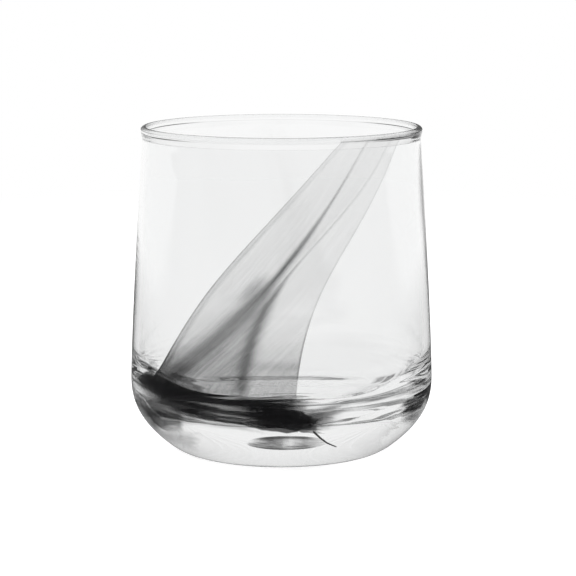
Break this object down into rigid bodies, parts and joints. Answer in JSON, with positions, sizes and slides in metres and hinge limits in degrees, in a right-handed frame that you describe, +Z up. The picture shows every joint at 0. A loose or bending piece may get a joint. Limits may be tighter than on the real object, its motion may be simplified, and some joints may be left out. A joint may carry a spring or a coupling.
{
  "type": "drinking glass",
  "caption": "Short thick-based tumbler of clear glass with a rounded heel, a round lip bead and a ribbon of grey smoke sealed in its front wall.",
  "frame": {"origin": "middle of the foot, on the surface that the glass stands on", "axes": "+Z up through the mouth, -Y towards the side with the smoke ribbon, +X to the right seen from that side"},
  "size_m": [0.0844, 0.0844, 0.09],
  "materials": {
    "clear_glass": "fire-polished clear glass, very slightly wavy",
    "pale_smoke": "thin translucent grey veil sealed in clear glass, faintly streaked along its length",
    "mid_smoke": "doubled translucent grey veil sealed in clear glass",
    "dark_smoke": "dense black smoke glass sealed in clear glass"
  },
  "bodies": {
    "root": {"outer_casing": "clear_glass", "inner_lining": "clear_glass", "rim_bead": "clear_glass", "left_veil": "pale_smoke", "folded_veil": "mid_smoke", "right_veil": "pale_smoke", "left_edge_thread": "mid_smoke", "fold_thread": "dark_smoke", "branch_thread": "dark_smoke", "right_edge_thread": "mid_smoke", "lip_smoke": "mid_smoke", "dark_pool": "dark_smoke", "pool_tail": "dark_smoke", "tail_drip": "dark_smoke", "left_wisp": "mid_smoke", "right_wisp": "dark_smoke", "base_curl": "mid_smoke"}
  },
  "joints": []
}
